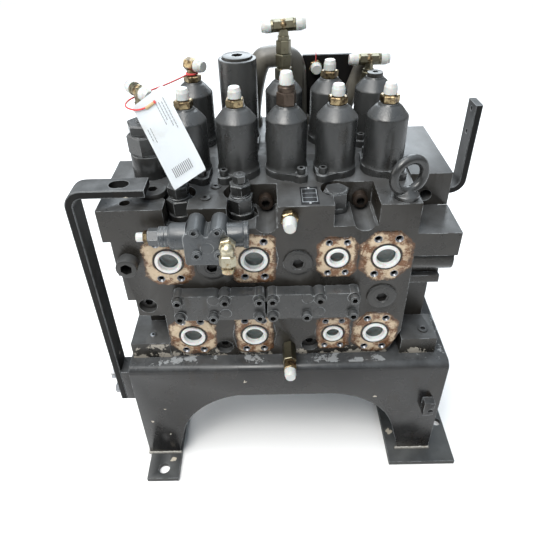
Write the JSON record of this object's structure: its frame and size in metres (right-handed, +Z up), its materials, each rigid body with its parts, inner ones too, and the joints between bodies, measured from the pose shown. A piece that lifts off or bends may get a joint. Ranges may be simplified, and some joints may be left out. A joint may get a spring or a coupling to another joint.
{
  "type": "hydraulic valve block",
  "caption": "Cast hydraulic control valve block with two rows of spring caps, flange ports on the front, and a lifting strap, standing on an arched plate stand.",
  "frame": {"origin": "middle of the footprint on the floor", "axes": "+Z up, +X to the right and +Y to the back when the port face is in front"},
  "size_m": [0.682, 0.525, 0.7737],
  "materials": {
    "dark_paint": "semi-gloss anthracite paint over cast iron",
    "stand_paint": "anthracite paint with worn edges",
    "steel": "ground steel",
    "spring_steel": "oiled spring steel",
    "zinc": "yellow zinc plate, dulled by oil",
    "white_plastic": "translucent white moulded plastic",
    "black_plate": "black anodised plate, bare of text",
    "paper": "white coated paper",
    "red_string": "twisted red string"
  },
  "bodies": {
    "block": {"stand_frame": "stand_paint", "stand_feet": "stand_paint", "front_housing": "dark_paint", "rear_housing": "dark_paint", "side_block": "dark_paint", "lower_covers": "dark_paint", "tall_cap": "dark_paint", "spring_cap_front_1": "dark_paint", "spring_cap_front_2": "dark_paint", "spring_cap_front_3": "dark_paint", "spring_cap_front_4": "dark_paint", "spring_cap_front_5": "dark_paint", "spring_cap_rear_1": "dark_paint", "spring_cap_rear_3": "dark_paint", "spring_cap_rear_4": "dark_paint", "spring_cap_rear_5": "dark_paint", "spring_front_1": "spring_steel", "spring_front_2": "spring_steel", "spring_front_3": "spring_steel", "spring_front_4": "spring_steel", "spring_front_5": "spring_steel", "spring_rear_1": "spring_steel", "spring_rear_3": "spring_steel", "spring_rear_4": "spring_steel", "spring_rear_5": "spring_steel", "cap_screws": "dark_paint", "port_plugs": "white_plastic", "socket_plugs": "dark_paint", "check_cover_left": "dark_paint", "check_cover_right": "dark_paint", "poppet_spring_left": "spring_steel", "poppet_spring_right": "spring_steel", "cover_screws": "dark_paint", "tie_screws": "dark_paint", "deck_cartridges": "dark_paint", "nameplate": "black_plate", "eyebolt": "dark_paint", "pilot_valve": "dark_paint", "pilot_adjuster": "dark_paint", "pilot_elbow": "zinc", "corner_valve": "dark_paint", "cap_fittings": "zinc", "protective_caps": "white_plastic", "lift_strap": "stand_paint", "rear_bracket": "stand_paint", "bar_bolts": "zinc", "rear_pipes": "stand_paint", "tag_string": "red_string"},
    "spool_front_1": {"spool_front_1": "steel"},
    "spool_front_2": {"spool_front_2": "steel"},
    "spool_front_3": {"spool_front_3": "steel"},
    "spool_front_4": {"spool_front_4": "steel"},
    "spool_front_5": {"spool_front_5": "steel"},
    "spool_rear_1": {"spool_rear_1": "steel"},
    "spool_rear_3": {"spool_rear_3": "steel"},
    "spool_rear_4": {"spool_rear_4": "steel"},
    "spool_rear_5": {"spool_rear_5": "steel"},
    "check_poppet_left": {"check_poppet_left": "steel"},
    "check_poppet_right": {"check_poppet_right": "steel"},
    "paper_tag": {"paper_tag": "paper"}
  },
  "joints": [
    {"name": "spool_front_1_slide", "type": "slide", "parent": "block", "child": "spool_front_1", "axis": [0, 0, 1], "range_m": [-0.009, 0.009], "stiffness_N_per_m": 60000, "deforming": ["spring_front_1"]},
    {"name": "spool_front_2_slide", "type": "slide", "parent": "block", "child": "spool_front_2", "axis": [0, 0, 1], "range_m": [-0.009, 0.009], "stiffness_N_per_m": 60000, "deforming": ["spring_front_2"]},
    {"name": "spool_front_3_slide", "type": "slide", "parent": "block", "child": "spool_front_3", "axis": [0, 0, 1], "range_m": [-0.009, 0.009], "stiffness_N_per_m": 60000, "deforming": ["spring_front_3"]},
    {"name": "spool_front_4_slide", "type": "slide", "parent": "block", "child": "spool_front_4", "axis": [0, 0, 1], "range_m": [-0.009, 0.009], "stiffness_N_per_m": 60000, "deforming": ["spring_front_4"]},
    {"name": "spool_front_5_slide", "type": "slide", "parent": "block", "child": "spool_front_5", "axis": [0, 0, 1], "range_m": [-0.009, 0.009], "stiffness_N_per_m": 60000, "deforming": ["spring_front_5"]},
    {"name": "spool_rear_1_slide", "type": "slide", "parent": "block", "child": "spool_rear_1", "axis": [0, 0, 1], "range_m": [-0.009, 0.009], "stiffness_N_per_m": 60000, "deforming": ["spring_rear_1"]},
    {"name": "spool_rear_3_slide", "type": "slide", "parent": "block", "child": "spool_rear_3", "axis": [0, 0, 1], "range_m": [-0.009, 0.009], "stiffness_N_per_m": 60000, "deforming": ["spring_rear_3"]},
    {"name": "spool_rear_4_slide", "type": "slide", "parent": "block", "child": "spool_rear_4", "axis": [0, 0, 1], "range_m": [-0.009, 0.009], "stiffness_N_per_m": 60000, "deforming": ["spring_rear_4"]},
    {"name": "spool_rear_5_slide", "type": "slide", "parent": "block", "child": "spool_rear_5", "axis": [0, 0, 1], "range_m": [-0.009, 0.009], "stiffness_N_per_m": 60000, "deforming": ["spring_rear_5"]},
    {"name": "check_poppet_left_slide", "type": "slide", "parent": "block", "child": "check_poppet_left", "axis": [0, -1, 0], "range_m": [0, 0.006], "stiffness_N_per_m": 3000, "springref_m": -0.004, "deforming": ["poppet_spring_left"]},
    {"name": "check_poppet_right_slide", "type": "slide", "parent": "block", "child": "check_poppet_right", "axis": [0, -1, 0], "range_m": [0, 0.006], "stiffness_N_per_m": 3000, "springref_m": -0.004, "deforming": ["poppet_spring_right"]},
    {"name": "tag_swing", "type": "hinge", "parent": "block", "child": "paper_tag", "pos_m": [-0.19959, -0.09074, 0.6936], "axis": [-0.8415, 0, -0.5402], "range_deg": [0, 60]}
  ]
}
